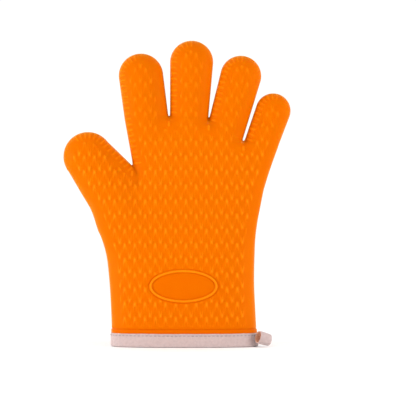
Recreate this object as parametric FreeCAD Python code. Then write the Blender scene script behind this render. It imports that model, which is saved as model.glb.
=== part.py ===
"""Five-finger heat resistant glove, standing on its cuff, in millimetres.

+Z runs from the cuff to the fingertips and +X from the thumb to the little finger. The back of the
hand faces -Y and the palm faces +Y. The origin is under the middle of the glove, on the surface
that the cuff stands on.

The glove is a moulded silicone shell over wadding and a cotton lining, bound with cotton tape at the
cuff. Each layer is one form at a different inset, cut where the fingers and the thumb bend.
"""

import FreeCAD
import Part

import math
import os

from FreeCAD import Matrix, Placement, Rotation, Vector

# Layers, as the insets of their outer and inner faces from the moulded surface
LAYERS = {
    "shell": (0.0, 2.0),
    "wadding": (2.1, 3.6),
    "lining": (3.7, 4.4),
}

# Hand form: height, thumb-side edge, little-finger-side edge and half depth of each section
HAND_SECTIONS = [
    (-6.0, -58.3, 72.6, 25.3),
    (30.0, -59.2, 70.6, 24.4),
    (60.0, -61.2, 69.4, 22.6),
    (95.0, -66.5, 70.4, 19.6),
    (125.0, -62.0, 75.0, 17.2),
    (150.0, -47.0, 80.2, 15.8),
    (170.0, -41.3, 85.8, 14.7),
    (190.0, -43.5, 92.5, 13.9),
    (210.0, -45.0, 99.0, 13.3),
]
SECTION_POWER = 2.5
SECTION_POINTS = 28

# The forks between the fingers, and the outer ends of the line that joins them
FORK_LINE = [(-75.0, 203.0), (-7.2, 204.6), (28.4, 201.0), (59.4, 182.5), (120.0, 182.5)]

# Each finger is round tapered stations on a straight axis, flattened in depth. A station is its
# distance along the axis from the start point and its radius; the last one is the tip's centre.
# knuckle and middle are the distances of the two joints.
FINGERS = {
    "thumb": dict(
        start=(-66.2, 152.6), toward=(-80.1, 170.3), stations=[(-36, 28.8), (0, 25.2), (22.5, 22.1)],
        depth=0.63, joints=(3.0, 20.5), bends=(40.0, 45.0),
    ),
    "index": dict(
        start=(-27.5, 205.7), toward=(-32.4, 243.0), stations=[(-44, 17.5), (0, 19.7), (37.6, 20.0)],
        depth=0.65, joints=(8.0, 31.0), bends=(50.0, 55.0),
    ),
    "middle": dict(
        start=(11.1, 209.3), toward=(13.2, 255.2), stations=[(-34, 17.0), (0, 17.4), (45.9, 19.4)],
        depth=0.67, joints=(6.0, 31.0), bends=(50.0, 55.0),
    ),
    "ring": dict(
        start=(41.4, 185.0), toward=(57.4, 242.6), stations=[(-24, 16.4), (0, 16.8), (59.8, 18.4)],
        depth=0.68, joints=(23.0, 47.0), bends=(50.0, 55.0),
    ),
    "little": dict(
        start=(75.6, 181.4), toward=(86.5, 211.5), stations=[(-32, 14.4), (0, 15.1), (32.0, 15.7)],
        depth=0.70, joints=(6.0, 25.0), bends=(50.0, 55.0),
    ),
}
BACK_BEND = 10.0  # how far a knuckle also bends backwards, in degrees
JOINT_GAP = 0.6  # clear half width of each bending gap at its axis
BEND_MARGIN = 3.0  # degrees of each side of a gap beyond half the bend
KNUCKLE_ROOM = 0.4  # between a finger's sides and the hand beside them

# Cuff
CUFF_EDGE = 1.5  # height of the layers' lower edge inside the folded tape
BINDING_TOP = 12.0
BINDING_OUT = 1.1  # tape over the moulded surface
BINDING_IN = 5.4  # inset of the tape's inner face
TAPE_GAP = 0.08

# Stitches through the tape
STITCH_COUNT = 84
STITCH_SIZE = (2.6, 0.5, 0.55)  # along the cuff, thick, high
STITCH_HEIGHT = 10.2
STITCH_GAP = 0.04  # between the tape and a stitch lying on it

# Bead moulded round the shell just above the tape
BEAD_SPAN = (12.3, 15.2)
BEAD_PROUD = 0.5

# Oval plate rim moulded on the back of the cuff
OVAL_CENTRE = (5.8, 54.3)
OVAL_RADII = (30.1, 14.3)
OVAL_RIM = 1.7
OVAL_PROUD = 0.8
OVAL_ROOT = 1.0  # how deep raised details run into the shell

# Hanging loop: a ring of tape at the little-finger corner of the cuff, its hole facing the back
LOOP_CENTRE = (77.3, -15.3, 7.4)
LOOP_TURN = 24.0  # of the hole's axis from +X towards +Y, in degrees
LOOP_DROOP = 16.0  # of the hole's axis below level, in degrees
LOOP_RADII = (6.2, 5.8)  # outside of the ring at its near and far rims
LOOP_THICK = 1.3
LOOP_WIDTH = 11.4

BIG = 400.0


def superellipse(left, right, half_depth, height):
    """Closed smooth wire around one horizontal section of the hand."""
    middle, half_width = (left + right) / 2, (right - left) / 2
    points = []
    for i in range(SECTION_POINTS):
        a = 2 * math.pi * i / SECTION_POINTS
        c, s = math.cos(a), math.sin(a)
        x = math.copysign(abs(c) ** (2 / SECTION_POWER), c) * half_width
        y = math.copysign(abs(s) ** (2 / SECTION_POWER), s) * half_depth
        points.append(Vector(middle + x, y, height))
    curve = Part.BSplineCurve()
    curve.interpolate(Points=points, PeriodicFlag=True)
    return Part.Wire([curve.toShape()])


def hand_loft(inset):
    """Hand without fingers, from below the cuff to above the forks."""
    sections = [
        superellipse(left + inset, right - inset, depth - inset, height)
        for height, left, right, depth in HAND_SECTIONS
    ]
    return Part.makeLoft(sections, True, False)


def xz_prism(outline, y_from, y_to):
    """Prism along Y over an outline given as (x, z) points."""
    points = [Vector(x, y_from, z) for x, z in outline]
    face = Part.Face(Part.makePolygon(points + points[:1]))
    return face.extrude(Vector(0, y_to - y_from, 0))


def finger_frame(finger):
    """Placement that takes +Z onto the finger's axis, and its start point onto the start."""
    (x0, z0), (x1, z1) = finger["start"], finger["toward"]
    tilt = math.degrees(math.atan2(x1 - x0, z1 - z0))
    return Placement(Vector(x0, 0, z0), Rotation(Vector(0, 1, 0), tilt))


def tangent_point(station, slope):
    """Where a cone of that slope touches the sphere at a station, as (along, radius)."""
    along, radius = station
    return along - radius * math.sin(slope), radius * math.cos(slope)


def finger_form(finger, inset):
    """Whole finger at an inset: cones between its stations and a round tip, flattened in depth."""
    stations = [(along, radius - inset) for along, radius in finger["stations"]]
    points = [Vector(stations[0][1], 0, stations[0][0])]
    for a, b in zip(stations, stations[1:]):
        slope = math.asin((b[1] - a[1]) / (b[0] - a[0]))
        along, radius = tangent_point(b, slope)
        points.append(Vector(radius, 0, along))
    along, radius = stations[-1]
    tip = Vector(0, 0, along + radius)
    rest = math.pi / 2 + slope
    bow = Vector(radius * math.sin(rest / 2), 0, along + radius * math.cos(rest / 2))
    edges = [Part.LineSegment(a, b).toShape() for a, b in zip(points, points[1:])]
    edges.append(Part.Arc(points[-1], bow, tip).toShape())
    foot = Vector(0, 0, points[0].z)
    edges += [Part.LineSegment(tip, foot).toShape(), Part.LineSegment(foot, points[0]).toShape()]
    solid = Part.Face(Part.Wire(edges)).revolve(Vector(0, 0, 0), Vector(0, 0, 1), 360)
    tip_radius = finger["stations"][-1][1]
    flatten = Matrix()
    flatten.scale(Vector(1, (finger["depth"] * tip_radius - inset) / (tip_radius - inset), 1))
    solid = solid.transformGeometry(flatten)
    if solid.ShapeType != "Solid":
        solid = Part.makeSolid(solid.Shells[0])
    solid.Placement = finger_frame(finger)
    return solid


def joint_angles(finger, number):
    """Half-gap angles of a joint on its back and palm sides, in degrees."""
    back = BACK_BEND / 2 + 1 if number == 0 else 1.0
    return back, finger["bends"][number] / 2 + BEND_MARGIN


def gap_edge(finger, number, side):
    """Three (along, y) points of the edge of a joint's gap: side -1 towards the hand, +1 the tip."""
    back, palm = joint_angles(finger, number)
    at = finger["joints"][number]
    reach = 45.0
    return [
        (at + side * (JOINT_GAP + reach * math.tan(math.radians(back))), -reach),
        (at + side * JOINT_GAP, 0.0),
        (at + side * (JOINT_GAP + reach * math.tan(math.radians(palm))), reach),
    ]


def finger_slab(finger, low, high, half_width):
    """Solid between two edges given as (along, y) points, as wide as asked across the finger."""
    points = [Vector(-half_width, y, along) for along, y in low + high[::-1]]
    face = Part.Face(Part.makePolygon(points + points[:1]))
    tool = face.extrude(Vector(2 * half_width, 0, 0))
    tool.Placement = finger_frame(finger)
    return tool


def span_tool(finger, part):
    """Solid around one part of a finger, 0 its root, 1 its base or 2 its tip, between the gaps."""
    low = [(-BIG, -45.0), (-BIG, 45.0)] if part == 0 else gap_edge(finger, part - 1, 1)
    high = [(BIG, -45.0), (BIG, 45.0)] if part == 2 else gap_edge(finger, part, -1)
    return finger_slab(finger, low, high, 60.0)


def hand_form(inset):
    """Hand cut off along the forks, which move down with the inset, and clear of the knuckles."""
    line = [(x, z - inset) for x, z in FORK_LINE]
    tools = [xz_prism(line + [(line[-1][0], BIG), (line[0][0], BIG)], -60, 60)]
    for finger in FINGERS.values():
        half_width = max(radius for _, radius in finger["stations"][1:]) + KNUCKLE_ROOM
        beyond = [(BIG, -45.0), (BIG, 45.0)]
        tools.append(finger_slab(finger, gap_edge(finger, 0, -1), beyond, half_width))
    return hand_loft(inset).cut(tools)


def one_solid(shape):
    """The largest solid of a result, as a plain solid."""
    return max(shape.Solids, key=lambda s: s.Volume)


def finger_part(finger, layer, part):
    """One layer of a finger's base or tip."""
    outer, inner = LAYERS[layer]
    tube = finger_form(finger, outer).cut(finger_form(finger, inner))
    return one_solid(tube.common(span_tool(finger, part)))


def rooted_hand(inset):
    """Hand form with the roots of all fingers, up to their first gaps."""
    roots = [finger_form(f, inset).common(span_tool(f, 0)) for f in FINGERS.values()]
    return hand_form(inset).fuse(roots)


def hand_layer(layer):
    """One layer of the hand with its finger roots, open at the cuff and at each finger."""
    outer, inner = LAYERS[layer]
    floor = Part.makeBox(BIG, 120, 20, Vector(-BIG / 2, -60, CUFF_EDGE - 20))
    return one_solid(rooted_hand(outer).cut(rooted_hand(inner)).cut(floor))


def oval_rim():
    """Raised oval rim on the back of the cuff, rooted in the shell."""
    x, z = OVAL_CENTRE
    across, up = OVAL_RADII

    def disc(radius_x, radius_z):
        ellipse = Part.Ellipse(Vector(0, 0, 0), radius_x, radius_z).toShape()
        face = Part.Face(Part.Wire([ellipse]))
        face.Placement = Placement(Vector(x, -45, z), Rotation(Vector(1, 0, 0), 90))
        return face.extrude(Vector(0, 45, 0))

    ring = disc(across, up).cut(disc(across - OVAL_RIM, up - OVAL_RIM))
    skin = hand_loft(-OVAL_PROUD).cut(hand_loft(OVAL_ROOT))
    return one_solid(ring.common(skin))


def halves(solid):
    """The back and palm halves of a layer, with a seam's width between them."""
    back = Part.makeBox(BIG, 60, BIG, Vector(-BIG / 2, -60.1, -10))
    palm = Part.makeBox(BIG, 60, BIG, Vector(-BIG / 2, 0.1, -10))
    return solid.common(back), solid.common(palm)


def slab(bottom, top):
    """Everything between two heights."""
    return Part.makeBox(BIG, 120, top - bottom, Vector(-BIG / 2, -60, bottom))


def cuff_ring(outer, inner, bottom, top):
    """Ring of the cuff between two insets and two heights."""
    return hand_loft(outer).cut(hand_loft(inner)).common(slab(bottom, top))


def binding():
    """Tape folded over the cuff's edge."""
    layers_inside = LAYERS["lining"][1] + TAPE_GAP
    fold = cuff_ring(-BINDING_OUT, BINDING_IN, 0, BINDING_TOP)
    room = cuff_ring(-TAPE_GAP, layers_inside, CUFF_EDGE - TAPE_GAP, BINDING_TOP + 5)
    return one_solid(fold.cut(room))


def stitches():
    """Separate stitches lying end to end, with gaps, round the tape's outer face."""
    length, thick, high = STITCH_SIZE
    edge = hand_loft(-BINDING_OUT).slice(Vector(0, 0, 1), STITCH_HEIGHT)[0]
    points = edge.discretize(Number=2 * STITCH_COUNT + 1)
    middle = edge.BoundBox.Center
    made = []
    for start, point, end in zip(points[0::2], points[1::2], points[2::2]):
        along = (end - start).normalize()
        out = Vector(along.y, -along.x, 0)
        if out.dot(point - middle) < 0:
            out = -out
        block = Part.makeBox(thick, length, high, Vector(STITCH_GAP, -length / 2, -high / 2))
        turn = math.degrees(math.atan2(out.y, out.x))
        block.Placement = Placement(point, Rotation(Vector(0, 0, 1), turn))
        made.append(block)
    return Part.makeCompound(made)


def hanging_loop():
    """Ring of tape, a little narrower towards its far rim."""
    turn, droop = math.radians(LOOP_TURN), math.radians(LOOP_DROOP)
    level = math.cos(droop)
    axis = Vector(level * math.cos(turn), level * math.sin(turn), -math.sin(droop))
    start = Vector(*LOOP_CENTRE) - axis * (LOOP_WIDTH / 2)
    near, far = LOOP_RADII
    outer = Part.makeCone(near, far, LOOP_WIDTH, start, axis)
    inner = Part.makeCone(near - LOOP_THICK, far - LOOP_THICK, LOOP_WIDTH, start, axis)
    return one_solid(outer.cut(inner))


def build():
    """Every node of the glove by name."""
    nodes = {}
    bead = cuff_ring(-BEAD_PROUD, OVAL_ROOT, *BEAD_SPAN)
    nodes["hand_shell"] = one_solid(hand_layer("shell").fuse([oval_rim(), bead]))
    for layer in ("wadding", "lining"):
        back, palm = halves(hand_layer(layer))
        nodes[f"hand_{layer}_back"] = back
        nodes[f"hand_{layer}_palm"] = palm
    for name, finger in FINGERS.items():
        for part, label in ((1, "base"), (2, "tip")):
            for layer in LAYERS:
                nodes[f"{name}_{label}_{layer}"] = finger_part(finger, layer, part)
    nodes["cuff_binding"] = binding()
    nodes["binding_stitches"] = stitches()
    nodes["hanging_loop"] = hanging_loop()
    return nodes


def main():
    os.makedirs("parts", exist_ok=True)
    for name, shape in build().items():
        shape.exportStep(f"parts/{name}.step")
        print(f"{name}: {len(shape.Solids)} solid(s), {shape.Volume:.0f} mm3, valid {shape.isValid()}")


main()
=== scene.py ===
"""The looks of the heat resistant glove, in the CAD model's frame.

Lengths in the constants are in millimetres and Blender's are in metres. The moulded form is one
field, about zero on the silicone's smooth surface and negative inside it. Every layer is a level of
that field, meshed over a grid, and the shell's ridges and ribs are then raised on it.
"""

import math

import bpy
import numpy as np
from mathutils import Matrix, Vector


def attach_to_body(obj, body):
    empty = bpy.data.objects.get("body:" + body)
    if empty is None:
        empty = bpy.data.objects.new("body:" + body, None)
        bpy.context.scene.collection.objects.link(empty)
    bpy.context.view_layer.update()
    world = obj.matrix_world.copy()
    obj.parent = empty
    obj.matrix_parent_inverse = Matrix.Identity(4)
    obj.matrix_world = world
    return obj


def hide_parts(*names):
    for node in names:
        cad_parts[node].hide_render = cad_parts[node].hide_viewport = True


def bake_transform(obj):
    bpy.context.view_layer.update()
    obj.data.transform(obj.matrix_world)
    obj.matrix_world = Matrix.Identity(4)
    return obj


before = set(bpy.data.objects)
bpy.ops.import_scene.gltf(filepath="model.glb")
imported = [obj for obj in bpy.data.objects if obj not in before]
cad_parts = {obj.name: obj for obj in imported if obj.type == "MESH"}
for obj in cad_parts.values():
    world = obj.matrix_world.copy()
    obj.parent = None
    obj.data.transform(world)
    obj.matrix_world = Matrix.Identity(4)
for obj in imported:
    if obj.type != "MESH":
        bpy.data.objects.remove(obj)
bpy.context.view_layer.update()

MM = 0.001

# Hand form: height, thumb-side edge, little-finger-side edge and half depth of each section
HAND_SECTIONS = np.array(
    [
        (-6.0, -58.3, 72.6, 25.3),
        (30.0, -59.2, 70.6, 24.4),
        (60.0, -61.0, 69.4, 22.6),
        (80.0, -63.3, 69.8, 20.8),
        (97.0, -67.2, 70.6, 19.4),
        (112.0, -69.0, 72.5, 18.1),
        (125.0, -66.0, 75.0, 17.2),
        (150.0, -42.5, 80.2, 15.6),
        (170.0, -37.0, 85.8, 14.2),
        (190.0, -40.5, 92.5, 12.6),
        (210.0, -43.0, 99.0, 11.0),
    ]
)
SECTION_POWER = 2.5
FORK_LINE = np.array([(-75.0, 203.0), (-7.2, 204.6), (28.4, 201.0), (59.4, 182.5), (120.0, 182.5)])
FORK_STEEP = 0.9  # how fast the hand's field rises past that line

# start and toward set each finger's axis; stations are (distance along it, radius), the last one
# the tip's centre; joints and spans are the middles and half lengths of its two bends; ribs turns
# the edge ribs on for its edges towards -X and +X, from rib_start along the axis
FINGERS = {
    "thumb": dict(
        start=(-66.2, 152.6), toward=(-80.1, 170.3),
        stations=[(-64, 22.0), (-36, 29.6), (0, 25.2), (22.5, 22.1)],
        depth=0.63, joints=(3.0, 20.5), spans=(7.3, 8.2), ribs=(0, 1), rib_start=-14.0,
    ),
    "index": dict(
        start=(-27.5, 205.7), toward=(-32.4, 243.0),
        stations=[(-44, 17.5), (0, 19.7), (37.6, 20.0)],
        depth=0.65, joints=(8.0, 31.0), spans=(9.2, 10.0), ribs=(1, 0), rib_start=-44.0,
    ),
    "middle": dict(
        start=(11.1, 209.3), toward=(13.2, 255.2), stations=[(-34, 17.0), (0, 17.4), (45.9, 19.4)],
        depth=0.67, joints=(6.0, 31.0), spans=(9.5, 10.5), ribs=(1, 0), rib_start=-4.0,
    ),
    "ring": dict(
        start=(41.4, 185.0), toward=(57.4, 242.6), stations=[(-24, 16.4), (0, 16.8), (59.8, 18.4)],
        depth=0.68, joints=(23.0, 47.0), spans=(9.2, 10.0), ribs=(1, 0), rib_start=13.0,
    ),
    "little": dict(
        start=(75.6, 181.4), toward=(86.5, 211.5),
        stations=[(-60, 10.0), (-32, 14.4), (0, 15.1), (32.0, 15.7)],
        depth=0.70, joints=(6.0, 25.0), spans=(7.4, 8.2), ribs=(1, 0), rib_start=-4.0,
    ),
}
FORKS = [(-7.2, 204.6), (28.4, 201.0), (59.4, 182.5), (-40.5, 160.0)]

# Rounding where parts of the form meet
TOP_BLEND = 8.0
FINGER_BLEND = 1.5
KNUCKLE_BLEND = 4.0
THUMB_BLEND = (14.0, 1.5)  # on the thumb's outer side, and in its fork
THUMB_TURN = (-8.0, 18.0)  # across its axis, where the first becomes the second
ROOT_FLAT, ROOT_SPAN = 0.76, (-40, 0)  # a finger's depth at its root, over the rest of it

# Levels of the field at each layer's outside and inside
SHELL_INSIDE = -2.0
INNER_LAYERS = {"wadding": (-2.1, -3.6), "lining": (-3.7, -4.4)}
LAYERS_BOTTOM = 1.6  # height where the layers end, inside the folded tape

# Raised zigzag ridges
PITCH = 9.08
ROW = 13.09
SWING = 10.2
PEAK = (-19.1, 137.9)
PEAK_SHARP = 0.93  # 1 is a sharp zigzag
RIDGE_HALF = 1.15
RIDGE_SOFT = 0.75
RIDGE_HIGH = 0.9
FLANK_SHARE = 0.08  # height halfway between peak and valley, over the peak's
MARGIN = 9.4  # smooth border inside the outline
ZIGZAG_BOTTOM = (17.5, 18.7)
FINGER_FADE = (165.0, 205.0)  # heights between which the ridges lose FINGER_LOSS of their height
FINGER_LOSS = 0.4

# Short ribs inside the fingers' edges, and the tick below each fork
RIB_SPACING = 5.0
RIB_WIDTH = (0.4, 1.25)  # half widths of a rib's crest and foot
RIB_HIGH = 0.4
RIB_OUTER, RIB_INNER = (0.3, 2.2), (6.8, 5.6)  # how deep inside the outline a rib rises and ends
TICK_HIGH = 0.6
TICK_DROP = 5.2
TICK_ACROSS, TICK_UP = (1.3, 0.5), (2.6, 1.8)  # half sizes of its foot and crest

# Oval rim and bead
OVAL_CENTRE = (5.8, 54.3)
OVAL_RADII = (30.1, 14.3)
OVAL_RIM = 1.7
OVAL_HIGH = 1.1
OVAL_GROOVE = 0.35
BEAD = (12.4, 15.1)
BEAD_HIGH = 0.5
BEAD_GROOVE = 0.3

# Grid that the field is meshed over, and its step outside and inside
GRID_LOW, GRID_HIGH = (-106.0, -30.0), (108.0, 30.0, 279.0)
FINE = 0.7
COARSE = 2.0

# Cuff binding as (out from the moulded surface, height), stitches and loop
BINDING_PROFILE = [
    (0.3, 0.0), (0.85, 0.35), (1.1, 1.2), (1.12, 3.5), (1.1, 6.0), (1.12, 9.5), (0.9, 10.2),
    (1.1, 10.9), (1.0, 11.7), (0.6, 12.0), (0.15, 11.9), (0.1, 1.42), (-4.48, 1.42), (-4.5, 11.9),
    (-5.0, 12.0), (-5.35, 11.6), (-5.4, 6.0), (-5.4, 1.2), (-5.1, 0.35), (-4.5, 0.0),
]
BINDING_COLUMNS = 640
STITCH_HEIGHT = 10.2
STITCH_COUNT = 84
STITCH_LENGTH, STITCH_RADIUS = 2.5, 0.34
STITCH_OUT = 1.12
LOOP_CENTRE = (77.3, -15.3, 7.4)
LOOP_TURN, LOOP_DROOP = 24.0, 16.0  # of the hole's axis, in degrees
LOOP_RADII = (6.2, 5.8)
LOOP_THICK = 1.3
LOOP_WIDTH = 11.4

# Colours, linear
# The second silicone colour is a painted highlight for raised places. Grooves are painted darker
# than the first colour, as painted shade.
SILICONE_DEEP, SILICONE_PAINTED_HIGHLIGHT = (0.64, 0.122, 0.0), (0.8, 0.2, 0.003)
# The last tape colour is painted shade, orange-brown, for the inner face of the loop.
TAPE_LIGHT, TAPE_DARK, TAPE_INSIDE_SHADE = (0.57, 0.44, 0.42), (0.4, 0.3, 0.29), (0.6, 0.3, 0.18)
COTTON_LIGHT, COTTON_DARK = (0.8, 0.72, 0.66), (0.7, 0.6, 0.55)
FLEECE_LIGHT, FLEECE_DARK = (0.85, 0.83, 0.8), (0.75, 0.73, 0.7)
THREAD_LIGHT, THREAD_DARK = (0.36, 0.27, 0.28), (0.25, 0.2, 0.2)

# Studio, in metres
VIEW_WIDTH = 0.3744  # seen across the picture at the glove
CAMERA_AWAY = 2.0
CAMERA_HEIGHT = 0.124
CAMERA_ASIDE = 0.0279
LAMP_AT, LAMP_SIZE = (0, 0, 0.09), 0.3

rng = np.random.default_rng(7)


def hermite(x, xs, ys):
    """Smooth curve through points, level beyond the ends."""
    slopes = np.gradient(ys, xs)
    x = np.clip(x, xs[0], xs[-1])
    i = np.clip(np.searchsorted(xs, x) - 1, 0, len(xs) - 2)
    h = xs[i + 1] - xs[i]
    s = (x - xs[i]) / h
    a = (1 + 2 * s) * (1 - s) ** 2
    b = s * (1 - s) ** 2
    c = s * s * (3 - 2 * s)
    d = s * s * (s - 1)
    return a * ys[i] + b * h * slopes[i] + c * ys[i + 1] + d * h * slopes[i + 1]


def smoothstep(lo, hi, v):
    """Smooth rise from 0 at lo to 1 at hi."""
    s = np.clip((v - lo) / (hi - lo), 0, 1)
    return s * s * (3 - 2 * s)


def soft_min(a, b, k):
    """Lower of two values, rounded over where they are within k of each other."""
    h = np.clip(0.5 + 0.5 * (b - a) / k, 0, 1)
    return b + (a - b) * h - k * h * (1 - h)


def hand_edges(z):
    """Middle, half width and half depth of the hand at a height."""
    zs = HAND_SECTIONS[:, 0]
    left, right, depth = (hermite(z, zs, HAND_SECTIONS[:, i]) for i in (1, 2, 3))
    return (left + right) / 2, (right - left) / 2, depth


def hand_field(x, y, z):
    """The hand's own field, up to the line through the forks."""
    middle, width, depth = hand_edges(z)
    p = SECTION_POWER
    a, b = np.abs(x - middle) / width, np.abs(y) / depth
    g = np.maximum(a**p + b**p, 1e-6) ** (1 / p)
    steep = g ** (1 - p) * np.hypot(a ** (p - 1) / width, b ** (p - 1) / depth)
    body = (g - 1) / np.maximum(steep, 0.01)
    top = (z - np.interp(x, FORK_LINE[:, 0], FORK_LINE[:, 1])) * FORK_STEEP
    return -soft_min(-body, -top, TOP_BLEND)


def finger_axis(finger):
    """Start and direction of a finger's axis, in X and Z."""
    (x0, z0), (x1, z1) = finger["start"], finger["toward"]
    length = math.hypot(x1 - x0, z1 - z0)
    return x0, z0, (x1 - x0) / length, (z1 - z0) / length


def finger_place(finger, x, z):
    """Distance along a finger's axis and sideways from it."""
    x0, z0, dx, dz = finger_axis(finger)
    return (x - x0) * dx + (z - z0) * dz, (x - x0) * dz - (z - z0) * dx


def finger_field(finger, x, y, z):
    """A finger's own field: a cone flattened in depth with a ball at its tip."""
    t, u = finger_place(finger, x, z)
    ts, rs = np.array(finger["stations"], float).T
    slope = math.asin((rs[-1] - rs[-2]) / (ts[-1] - ts[-2]))
    flat = finger["depth"] * (ROOT_FLAT + (1 - ROOT_FLAT) * smoothstep(*ROOT_SPAN, t))
    q = np.sqrt(u * u + (y / flat) ** 2) + 1e-6
    stretch = np.sqrt(u * u + (y / flat**2) ** 2) / q
    cone = (q - np.interp(t, ts, rs)) * math.cos(slope) / stretch
    end = t - ts[-1]
    reach = np.sqrt(end * end + q * q)
    ball = (reach - rs[-1]) * reach / np.sqrt(end * end + (q * stretch) ** 2)
    body = np.where(end > -rs[-1] * math.sin(slope), ball, cone)
    return np.maximum(body, ts[0] - t)


def field(x, y, z):
    """The whole smooth form, in millimetres."""
    fingers = None
    for name in ("index", "middle", "ring", "little"):
        one = finger_field(FINGERS[name], x, y, z)
        fingers = one if fingers is None else soft_min(fingers, one, FINGER_BLEND)
    whole = soft_min(hand_field(x, y, z), fingers, KNUCKLE_BLEND)
    thumb = FINGERS["thumb"]
    _, inward = finger_place(thumb, x, z)
    outer, fork = THUMB_BLEND
    round_off = outer - (outer - fork) * smoothstep(*THUMB_TURN, inward)
    return soft_min(whole, finger_field(thumb, x, y, z), round_off)


def field_at(points):
    """The whole form's field at each row of points."""
    return field(points[:, 0], points[:, 1], points[:, 2])


def slopes_at(points, step=0.25):
    """The field's gradient at each point."""
    out = np.zeros_like(points)
    for k in range(3):
        shift = np.zeros(3)
        shift[k] = step
        out[:, k] = (field_at(points + shift) - field_at(points - shift)) / (2 * step)
    return out


def net(level, step, bottom):
    """Quad mesh of one level of the field above a height: points and faces, in millimetres."""
    lo = np.array([*GRID_LOW, bottom - 2 * step])
    hi = np.array(GRID_HIGH)
    counts = np.ceil((hi - lo) / step).astype(int) + 1
    xs, ys, zs = (lo[k] + step * np.arange(counts[k]) for k in range(3))
    values = np.empty(counts, np.float32)
    for i, x in enumerate(xs):
        y, z = np.meshgrid(ys, zs, indexing="ij")
        values[i] = field(np.full(y.shape, x), y, z) - level
    inside = values < 0
    corner = sum(
        inside[a : counts[0] - 1 + a, b : counts[1] - 1 + b, c : counts[2] - 1 + c].astype(np.int8)
        for a in (0, 1) for b in (0, 1) for c in (0, 1)
    )
    # One point in each cell that the surface passes through
    cells = np.argwhere((corner > 0) & (corner < 8))
    ids = -np.ones(corner.shape, np.int32)
    ids[tuple(cells.T)] = np.arange(len(cells))
    total, hits = np.zeros((len(cells), 3)), np.zeros(len(cells))
    for axis in range(3):
        for a in (0, 1):
            for b in (0, 1):
                first = np.zeros(3, int)
                first[(axis + 1) % 3], first[(axis + 2) % 3] = a, b
                second = first.copy()
                second[axis] = 1
                va = values[tuple((cells + first).T)].astype(float)
                vb = values[tuple((cells + second).T)].astype(float)
                cut = (va < 0) != (vb < 0)
                s = np.where(cut, va / np.where(cut, va - vb, 1), 0)
                place = cells + first + s[:, None] * (second - first)
                total += place * cut[:, None]
                hits += cut
    points = lo + step * total / hits[:, None]
    # One quad round each grid edge that it crosses
    quads = []
    for axis in range(3):
        b, c = (axis + 1) % 3, (axis + 2) % 3
        lower = [slice(None)] * 3
        upper = [slice(None)] * 3
        lower[axis], upper[axis] = slice(0, -1), slice(1, None)
        changed = inside[tuple(lower)] != inside[tuple(upper)]
        at = np.argwhere(changed)
        ok = (at[:, b] > 0) & (at[:, b] < counts[b] - 1)
        ok &= (at[:, c] > 0) & (at[:, c] < counts[c] - 1)
        at = at[ok]
        out = inside[tuple(at.T)]
        around = []
        for db, dc in ((-1, -1), (0, -1), (0, 0), (-1, 0)):
            cell = at.copy()
            cell[:, b] += db
            cell[:, c] += dc
            around.append(ids[tuple(cell.T)])
        quad = np.stack(around, 1)
        quads.append(np.where(out[:, None], quad, quad[:, ::-1]))
    faces = np.concatenate(quads)
    # Points moved onto the surface, then cut off level at the bottom
    for _ in range(3):
        slope = slopes_at(points)
        size = np.maximum((slope**2).sum(1), 0.05)
        move = (field_at(points) - level)[:, None] * slope / size[:, None]
        points = points - np.clip(move, -step, step)
    keep = points[faces][:, :, 2].min(1) > bottom - step
    faces = faces[keep]
    used = np.unique(faces)
    index = np.zeros(len(points), int)
    index[used] = np.arange(len(used))
    points, faces = points[used], index[faces]
    points[:, 2] = np.maximum(points[:, 2], bottom)
    return points, faces


def ridges(x, z):
    """Height from 0 to 1 of the zigzag ridges."""
    phase = 2 * math.pi * (x - PEAK[0]) / PITCH
    sharp = PEAK_SHARP
    wave = np.arcsin(sharp * np.cos(phase)) / math.asin(sharp)
    steep = -sharp * np.sin(phase) / np.sqrt(1 - (sharp * np.cos(phase)) ** 2) / math.asin(sharp)
    steep *= math.pi * SWING / PITCH
    off = z - PEAK[1] - SWING / 2 * wave
    off = (off + ROW / 2) % ROW - ROW / 2
    away = np.abs(off) / np.sqrt(1 + steep**2)
    turn = np.abs(np.cos(phase)) ** 3
    ridge = 1 - smoothstep(RIDGE_HALF - RIDGE_SOFT, RIDGE_HALF + RIDGE_SOFT, away)
    return (FLANK_SHARE + (1 - FLANK_SHARE) * turn) * ridge


def oval_edge(x, z):
    """Distance outwards from the oval's outer edge."""
    ex, ez = (x - OVAL_CENTRE[0]) / OVAL_RADII[0], (z - OVAL_CENTRE[1]) / OVAL_RADII[1]
    radius = np.hypot(ex, ez)
    steep = np.hypot(ex / OVAL_RADII[0], ez / OVAL_RADII[1])
    return (radius - 1) * radius / np.maximum(steep, 1e-6)


def edge_ribs(finger, x, z, inset):
    """Height of the short ribs across a finger's edge."""
    t, u = finger_place(finger, x, z)
    ts, rs = np.array(finger["stations"], float).T
    end = np.maximum(t - ts[-1], 0)
    along = np.minimum(t, ts[-1]) + rs[-1] * np.arctan2(end, np.abs(u) + 1e-6)
    near = np.abs(u) < np.interp(t, ts, rs) + 1.5
    side = np.where(u < 0, *finger["ribs"])
    start = finger["rib_start"]
    where = near * side * smoothstep(start - 0.5, start + 0.5, t)
    half = RIB_SPACING / 2
    bar = 1 - smoothstep(*RIB_WIDTH, np.abs((along + half) % RIB_SPACING - half))
    return RIB_HIGH * bar * where * smoothstep(*RIB_INNER, inset) * smoothstep(*RIB_OUTER, inset)


def swell(away, half):
    """Soft hump of height 1 at away zero."""
    return np.exp(-((away / half) ** 2))


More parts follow.
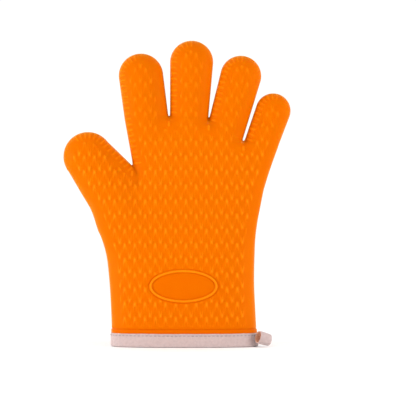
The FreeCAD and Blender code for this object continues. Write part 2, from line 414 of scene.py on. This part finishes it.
def relief(points):
    """How far the shell's surface stands out at each point, in millimetres, and its painted light:
    a painted highlight on raised places, painted shade in grooves.
    """
    x, y, z = points.T
    back = y < 0
    inset = -field(x, np.zeros_like(x), z)
    high = RIDGE_HIGH * ridges(x, z) * smoothstep(MARGIN - 0.6, MARGIN + 0.6, inset)
    high *= 1 - FINGER_LOSS * smoothstep(*FINGER_FADE, z)
    high *= smoothstep(*ZIGZAG_BOTTOM, z)
    edge = oval_edge(x, z)
    high *= np.where(back, smoothstep(1.0, 2.2, edge), 1)
    across = np.abs(edge + OVAL_RIM / 2) - OVAL_RIM / 2
    rim = OVAL_HIGH * smoothstep(0.35, -0.45, across)
    rim -= OVAL_GROOVE * swell(across - 0.75, 0.45)
    high += np.where(back, rim, 0)
    for finger in FINGERS.values():
        high += edge_ribs(finger, x, z, inset)
    for fx, fz in FORKS:
        down = np.abs(z - fz + TICK_DROP)
        tick = smoothstep(*TICK_ACROSS, np.abs(x - fx)) * smoothstep(*TICK_UP, down)
        high += TICK_HIGH * tick
    bead = smoothstep(BEAD[0] - 0.5, BEAD[0], z) * smoothstep(BEAD[1] + 0.5, BEAD[1], z)
    groove = swell(z - BEAD[1] - 0.7, 0.5)
    # Painted light: ridges, ribs, ticks and the oval rim get a painted highlight as strong as they
    # are high. The oval's groove and the groove above the bead get painted shade, and the bead is a
    # little darker.
    painted_light = high - 0.15 * bead - 0.5 * groove
    return high + BEAD_HIGH * bead - BEAD_GROOVE * groove, painted_light


def new_object(name, points, faces, normals=None, painted_lights=None):
    """Smooth-shaded mesh object from millimetre points and faces."""
    mesh = bpy.data.meshes.new(name)
    flat = np.asarray(faces, np.int32)
    mesh.vertices.add(len(points))
    mesh.vertices.foreach_set("co", (np.asarray(points) * MM).astype(np.float32).ravel())
    mesh.loops.add(flat.size)
    mesh.loops.foreach_set("vertex_index", flat.ravel())
    mesh.polygons.add(len(flat))
    mesh.polygons.foreach_set("loop_start", np.arange(0, flat.size, flat.shape[1], dtype=np.int32))
    mesh.update(calc_edges=True)
    mesh.validate()
    mesh.polygons.foreach_set("use_smooth", np.ones(len(mesh.polygons), bool))
    if normals is not None:
        mesh.normals_split_custom_set_from_vertices(normals.tolist())
    if painted_lights is not None:
        # Painted light per point, kept as a mesh attribute for the materials.
        layer = mesh.attributes.new("painted_light", "FLOAT", "POINT")
        layer.data.foreach_set("value", painted_lights.astype(np.float32))
    thing = bpy.data.objects.new(name, mesh)
    bpy.context.scene.collection.objects.link(thing)
    return thing


def vertex_normals(points, faces):
    """Area-weighted normal at each point of a quad mesh."""
    corners = points[faces]
    normal = np.cross(corners[:, 2] - corners[:, 0], corners[:, 3] - corners[:, 1])
    total = np.zeros_like(points)
    for k in range(4):
        for axis in range(3):
            total[:, axis] += np.bincount(faces[:, k], normal[:, axis], len(points))
    return total / np.maximum(np.linalg.norm(total, axis=1), 1e-9)[:, None]


def skin(level, inside_out):
    """Smooth skin of a layer: points, faces, normals and painted light, none here, of one level of
    the field.
    """
    points, faces = net(level, COARSE, LAYERS_BOTTOM)
    if inside_out:
        faces = faces[:, ::-1]
    return points, faces, vertex_normals(points, faces), np.zeros(len(points))


def sort_faces(points, faces):
    """Piece number of each face: 0 the hand, then each finger's base and tip."""
    centre = points[faces].mean(1)
    x, y, z = centre.T
    fields = np.stack([finger_field(f, x, y, z) for f in FINGERS.values()])
    nearest = fields.argmin(0)
    piece = np.zeros(len(faces), int)
    for i, finger in enumerate(FINGERS.values()):
        t, _ = finger_place(finger, x, z)
        (j0, j1), (h0, h1) = finger["joints"], finger["spans"]
        mine = (nearest == i) & (t > j0 - h0 - 0.8)
        piece[mine] = 1 + 2 * i
        piece[mine & (t > (j0 + h0 + j1 - h1) / 2)] = 2 + 2 * i
    return piece


def layer_pieces(layer, skins):
    """One object per piece of a layer, from its (points, faces, normals, painted light) skins."""
    made = {}
    names = ["hand"] + [f"{f}_{part}" for f in FINGERS for part in ("base", "tip")]
    sorted_skins = [(*one, sort_faces(*one[:2])) for one in skins]
    for number, name in enumerate(names):
        points, faces, normals, painted_lights, count = [], [], [], [], 0
        for p, f, n, painted_light, piece in sorted_skins:
            mine = f[piece == number]
            used = np.unique(mine)
            index = np.zeros(len(p), int)
            index[used] = np.arange(len(used)) + count
            points.append(p[used])
            normals.append(n[used])
            painted_lights.append(painted_light[used])
            faces.append(index[mine])
            count += len(used)
        arrays = (np.concatenate(part) for part in (points, faces, normals, painted_lights))
        made[name] = new_object(f"{name}_{layer}_skin", *arrays)
    return made


def attach(made, look, nodes_of):
    """Material of a layer's pieces, the hand piece's body, the others' placement baked in, and the
    CAD nodes they replace hidden.
    """
    for name, thing in made.items():
        thing.data.materials.append(look)
        if name == "hand":
            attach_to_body(thing, "hand")
        else:
            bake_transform(thing)
        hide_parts(*nodes_of(name))


# Materials


def material(name, base, rough):
    """New material, its node tree and its main shader."""
    mat = bpy.data.materials.new(name)
    mat.use_nodes = True
    shader = mat.node_tree.nodes["Principled BSDF"]
    shader.inputs["Base Color"].default_value = (*base, 1)
    shader.inputs["Roughness"].default_value = rough
    return mat, mat.node_tree, shader


def node(tree, kind, **values):
    """New shader node, with values for its sockets or its own settings."""
    made = tree.nodes.new(kind)
    for key, value in values.items():
        if key in made.inputs:
            made.inputs[key].default_value = value
        else:
            setattr(made, key, value)
    return made


def silicone():
    """Translucent orange silicone, with a painted highlight on raised places and painted shade in
    grooves.
    """
    mat, tree, shader = material("orange_silicone", SILICONE_DEEP, 0.38)
    shader.inputs["Subsurface Weight"].default_value = 0.35
    shader.inputs["Subsurface Radius"].default_value = (1.0, 0.35, 0.08)
    shader.inputs["Subsurface Scale"].default_value = 0.003
    shader.inputs["Specular IOR Level"].default_value = 0.04
    shader.inputs["Specular Tint"].default_value = (1.0, 0.5, 0.04, 1)
    shader.inputs["Sheen Weight"].default_value = 0.45
    shader.inputs["Sheen Roughness"].default_value = 0.4
    shader.inputs["Sheen Tint"].default_value = (0.9, 0.7, 0.0, 1)
    place = node(tree, "ShaderNodeTexCoord")
    painted_light = node(tree, "ShaderNodeAttribute", attribute_name="painted_light")
    spread = node(tree, "ShaderNodeMapRange")
    spread.inputs["From Max"].default_value = RIDGE_HIGH
    spread.clamp = False
    mix = node(tree, "ShaderNodeMix", data_type="RGBA", clamp_factor=False)
    mix.inputs[6].default_value = (*SILICONE_DEEP, 1)
    mix.inputs[7].default_value = (*SILICONE_PAINTED_HIGHLIGHT, 1)
    grain = node(tree, "ShaderNodeTexNoise", Scale=900.0, Detail=3.0)
    cloud = node(tree, "ShaderNodeTexNoise", Scale=22.0, Detail=2.0)
    bump = node(tree, "ShaderNodeBump", Strength=0.12, Distance=0.0003)
    gloss = node(tree, "ShaderNodeMapRange")
    gloss.inputs["To Min"].default_value = 0.32
    gloss.inputs["To Max"].default_value = 0.44
    # The per-point painted light lifts the colour towards the painted highlight on raised places
    # and, past the base colour, into painted shade in grooves.
    tree.links.new(painted_light.outputs["Fac"], spread.inputs["Value"])
    tree.links.new(spread.outputs["Result"], mix.inputs[0])
    tree.links.new(mix.outputs[2], shader.inputs["Base Color"])
    tree.links.new(place.outputs["Object"], grain.inputs["Vector"])
    tree.links.new(place.outputs["Object"], cloud.inputs["Vector"])
    tree.links.new(grain.outputs["Fac"], bump.inputs["Height"])
    tree.links.new(cloud.outputs["Fac"], gloss.inputs["Value"])
    tree.links.new(gloss.outputs["Result"], shader.inputs["Roughness"])
    tree.links.new(bump.outputs["Normal"], shader.inputs["Normal"])
    return mat


def cloth(name, light, dark, scale, strength, inside=None):
    """Woven cloth: two crossed bands as bump, and a mottle; a painted light value of 1 shows the
    painted shade colour of the inside.
    """
    mat, tree, shader = material(name, light, 0.9)
    shader.inputs["Sheen Weight"].default_value = 0.2
    place = node(tree, "ShaderNodeTexCoord")
    warp = node(tree, "ShaderNodeTexWave", wave_type="BANDS", bands_direction="Z", Scale=scale)
    weft = node(tree, "ShaderNodeTexWave", wave_type="BANDS", bands_direction="X", Scale=scale)
    both = node(tree, "ShaderNodeMath", operation="MULTIPLY")
    mottle = node(tree, "ShaderNodeTexNoise", Scale=420.0, Detail=4.0)
    mix = node(tree, "ShaderNodeMix", data_type="RGBA")
    bump = node(tree, "ShaderNodeBump", Strength=strength, Distance=0.0004)
    ramp = node(tree, "ShaderNodeMath", operation="MULTIPLY")
    for texture in (warp, weft, mottle):
        tree.links.new(place.outputs["Object"], texture.inputs["Vector"])
    tree.links.new(warp.outputs["Fac"], both.inputs[0])
    tree.links.new(weft.outputs["Fac"], both.inputs[1])
    tree.links.new(mottle.outputs["Fac"], ramp.inputs[0])
    ramp.inputs[1].default_value = 0.9
    tree.links.new(ramp.outputs[0], mix.inputs[0])
    mix.inputs[6].default_value = (*light, 1)
    mix.inputs[7].default_value = (*dark, 1)
    final = mix.outputs[2]
    # Painted shade for the loop's inner face.
    if inside is not None:
        painted_light = node(tree, "ShaderNodeAttribute", attribute_name="painted_light")
        last = node(tree, "ShaderNodeMix", data_type="RGBA")
        last.inputs[7].default_value = (*inside, 1)
        tree.links.new(painted_light.outputs["Fac"], last.inputs[0])
        tree.links.new(final, last.inputs[6])
        final = last.outputs[2]
    tree.links.new(final, shader.inputs["Base Color"])
    tree.links.new(both.outputs[0], bump.inputs["Height"])
    tree.links.new(bump.outputs["Normal"], shader.inputs["Normal"])
    return mat


# Cuff trim


def cuff_curve(turn, out, z):
    """Point round the cuff, out from the moulded surface, at a height; turn is 0 to 1."""
    middle, width, depth = hand_edges(np.asarray(z, float))
    a = 2 * math.pi * np.asarray(turn)
    c, s = np.cos(a), np.sin(a)
    x = middle + np.sign(c) * np.abs(c) ** (2 / SECTION_POWER) * (width + out)
    y = np.sign(s) * np.abs(s) ** (2 / SECTION_POWER) * (depth + out)
    return np.stack([x, y, np.broadcast_to(z, x.shape)], -1)


def even_turns(count, z):
    """Turns that are evenly spaced along the cuff."""
    dense = np.linspace(0, 1, 4001)
    run = np.linalg.norm(np.diff(cuff_curve(dense, 0.0, z), axis=0), axis=1)
    length = np.concatenate([[0], np.cumsum(run)])
    return np.interp(np.linspace(0, length[-1], count, endpoint=False), length, dense)


def binding():
    """Folded tape with slight waves along its outer face."""
    turns = even_turns(BINDING_COLUMNS, 5.0)
    waves = sum(
        rng.uniform(0.03, 0.09) * np.sin(2 * math.pi * (k * turns + rng.uniform()))
        for k in (5, 9, 14, 23, 37)
    )
    rows = []
    for out, z in BINDING_PROFILE:
        outer = out > 0.5
        shift = waves if outer else 0 * waves
        lift = 0.6 * waves if z > 10 and outer else 0 * waves
        row = [cuff_curve(t, out + s, z + l) for t, s, l in zip(turns, shift, lift)]
        rows.append(np.stack(row))
    points = np.stack(rows, 1)
    m = len(BINDING_PROFILE)
    base = np.arange(BINDING_COLUMNS)[:, None] * m + np.arange(m)
    right = np.roll(base, -1, 0)
    faces = np.stack([base, right, np.roll(right, -1, 1), np.roll(base, -1, 1)], -1)
    return new_object("cuff_binding_tape", points.reshape(-1, 3), faces.reshape(-1, 4))


def capsule(length, radius, rings=5, around=8):
    """Small stitch along X, narrowing to its ends."""
    s = np.linspace(-1, 1, rings + 2)
    points = []
    for v in s:
        r = radius * math.sqrt(max(1 - abs(v) ** 3, 0.02))
        for k in range(around):
            a = 2 * math.pi * k / around
            points.append((v * length / 2, r * math.cos(a), r * math.sin(a)))
    points = np.array(points)
    base = np.arange(len(s) - 1)[:, None] * around + np.arange(around)
    nxt = np.arange(len(s) - 1)[:, None] * around + (np.arange(around) + 1) % around
    faces = np.stack([base, nxt, nxt + around, base + around], -1).reshape(-1, 4)
    return points, faces


def stitching():
    """Stitches end to end round the binding, each a little askew."""
    turns = even_turns(STITCH_COUNT, STITCH_HEIGHT)
    unit, unit_faces = capsule(STITCH_LENGTH, STITCH_RADIUS)
    points, faces = [], []
    for i, turn in enumerate(turns):
        here = cuff_curve(turn, STITCH_OUT, STITCH_HEIGHT)
        ahead = cuff_curve(turn + 0.0004, STITCH_OUT, STITCH_HEIGHT)
        along = (ahead - here) / np.linalg.norm(ahead - here)
        out = np.array([along[1], -along[0], 0])
        up = np.array([0, 0, 1.0])
        lean = rng.uniform(-0.06, 0.06)
        along = along + lean * up
        points.append(here + unit[:, :1] * along + unit[:, 1:2] * out + unit[:, 2:] * up)
        faces.append(unit_faces + i * len(unit))
    return new_object("cuff_binding_stitches", np.concatenate(points), np.concatenate(faces))


def loop():
    """Ring of tape with a slightly crumpled outline, and painted shade on its inner face."""
    turn, droop = math.radians(LOOP_TURN), math.radians(LOOP_DROOP)
    level = math.cos(droop)
    axis = np.array([level * math.cos(turn), level * math.sin(turn), -math.sin(droop)])
    across = np.array([-math.sin(turn), math.cos(turn), 0.0])
    upward = np.cross(axis, across)
    around, steps = 96, 14
    a = 2 * math.pi * np.arange(around) / around
    rows = []
    near, far = LOOP_RADII
    for side, run in ((1, range(steps + 1)), (-1, range(steps, -1, -1))):
        for i in run:
            s = i / steps
            thick = LOOP_THICK / 2 * (1 - 0.5 * abs(2 * s - 1) ** 8)
            middle = near + (far - near) * s - LOOP_THICK / 2
            lobe = 0.22 * np.sin(2 * a + 0.6) + 0.14 * np.sin(3 * a + 1.3 + 0.8 * s)
            radius = middle - 0.25 + lobe + side * thick
            rows.append(
                np.outer(radius * np.cos(a), across) + np.outer(radius * np.sin(a), upward)
                + axis * (s - 0.5) * LOOP_WIDTH
            )
    points = np.array(LOOP_CENTRE) + np.stack(rows, 1)
    m = points.shape[1]
    base = np.arange(around)[:, None] * m + np.arange(m)
    right = np.roll(base, -1, 0)
    faces = np.stack([base, np.roll(base, -1, 1), np.roll(right, -1, 1), right], -1).reshape(-1, 4)
    # Painted shade: 1 on the rows of the ring's inner face, 0 on its outer face.
    inner = np.tile(np.repeat([0.0, 1.0], steps + 1), around)
    return new_object("hanging_loop_tape", points.reshape(-1, 3), faces, painted_lights=inner)


def build():
    """Every piece of the glove, with its material, body and CAD nodes."""
    orange = silicone()
    tape = cloth("cotton_tape", TAPE_LIGHT, TAPE_DARK, 240.0, 0.8, TAPE_INSIDE_SHADE)
    cotton = cloth("cotton_lining", COTTON_LIGHT, COTTON_DARK, 180.0, 0.5)
    fleece = cloth("wadding_fleece", FLEECE_LIGHT, FLEECE_DARK, 60.0, 0.3)
    thread = cloth("sewing_thread", THREAD_LIGHT, THREAD_DARK, 900.0, 0.3)

    points, faces = net(0.0, FINE, LAYERS_BOTTOM)
    slope = slopes_at(points)
    slope /= np.linalg.norm(slope, axis=1)[:, None]
    # The relief's height also gives the shell its painted highlight and painted shade.
    high, painted_light = relief(points)
    outside = points + slope * high[:, None]
    shell = [(outside, faces, vertex_normals(outside, faces), painted_light), skin(SHELL_INSIDE, True)]
    attach(layer_pieces("silicone", shell), orange, lambda n: [f"{n}_shell"])

    for layer, look in (("wadding", fleece), ("lining", cotton)):
        outer, inner = INNER_LAYERS[layer]
        pieces = layer_pieces(layer, [skin(outer, False), skin(inner, True)])
        halves = [f"hand_{layer}_back", f"hand_{layer}_palm"]
        attach(pieces, look, lambda n: halves if n == "hand" else [f"{n}_{layer}"])

    for thing, look, slot, body, replaced in (
        (binding(), tape, "tape", "hand", "cuff_binding"),
        (stitching(), thread, "thread", "hand", "binding_stitches"),
        (loop(), tape, "tape", "hanging_loop", "hanging_loop"),
    ):
        thing.data.materials.append(look)
        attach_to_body(thing, body)
        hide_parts(replaced)


def lamp(name, place, power):
    """Square area light aimed at the glove's lower half."""
    data = bpy.data.lights.new(name, "AREA")
    data.size = LAMP_SIZE
    data.energy = power
    thing = bpy.data.objects.new(name, data)
    thing.location = place
    thing.rotation_euler = (Vector(LAMP_AT) - Vector(place)).to_track_quat("-Z", "Y").to_euler()
    bpy.context.scene.collection.objects.link(thing)


def studio():
    """Pale floor, white surroundings, two soft lights and the camera."""
    mesh = bpy.data.meshes.new("floor")
    mesh.from_pydata([(-6, -6, 0), (6, -6, 0), (6, 6, 0), (-6, 6, 0)], [], [(0, 1, 2, 3)])
    floor = bpy.data.objects.new("floor", mesh)
    floor.location.z = -0.0003
    look, _, _ = material("pale_floor", (0.97, 0.97, 0.97), 0.9)
    mesh.materials.append(look)
    bpy.context.scene.collection.objects.link(floor)

    world = bpy.data.worlds.new("studio")
    world.use_nodes = True
    world.node_tree.nodes["Background"].inputs["Color"].default_value = (1, 1, 1, 1)
    world.node_tree.nodes["Background"].inputs["Strength"].default_value = 1.05
    bpy.context.scene.world = world
    lamp("key", (-0.95, -0.4, 0.22), 6.2)
    lamp("side", (0.9, -0.5, 0.25), 4.2)
    bpy.context.scene.view_settings.view_transform = "Standard"

    camera = bpy.data.objects.new("camera", bpy.data.cameras.new("camera"))
    camera.location = (0, -CAMERA_AWAY, CAMERA_HEIGHT)
    camera.rotation_euler = (math.pi / 2, 0, 0)
    camera.data.lens = camera.data.sensor_width * CAMERA_AWAY / VIEW_WIDTH
    camera.data.shift_x = CAMERA_ASIDE / VIEW_WIDTH
    bpy.context.scene.collection.objects.link(camera)
    bpy.context.scene.camera = camera


build()
studio()
